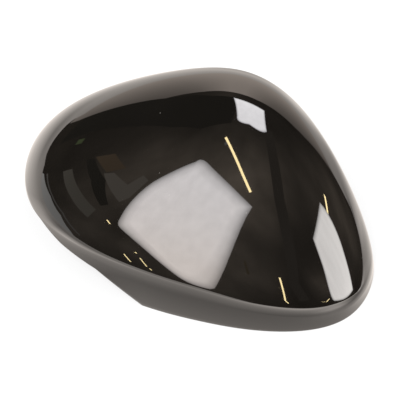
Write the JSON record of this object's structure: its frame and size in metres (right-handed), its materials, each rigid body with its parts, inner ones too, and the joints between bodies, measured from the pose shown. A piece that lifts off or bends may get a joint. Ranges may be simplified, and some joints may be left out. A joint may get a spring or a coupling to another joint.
{
  "type": "car door mirror cover",
  "caption": "Gloss black domed cover for the outside of a car's door mirror, with an edge line, a skirt cut away for the arm, and snap hooks inside.",
  "frame": {"origin": "on the plane of the rim, under the middle of the cover's outline", "axes": "+X to the outboard tip, +Y to the edge that is uppermost on the car, +Z from the rim to the crown, which faces forward on the car"},
  "size_m": [0.1985, 0.1462, 0.078],
  "materials": {
    "gloss_black": "deep gloss black paint over a moulded cover"
  },
  "bodies": {
    "root": {"mirror_cover": "gloss_black"}
  },
  "joints": []
}
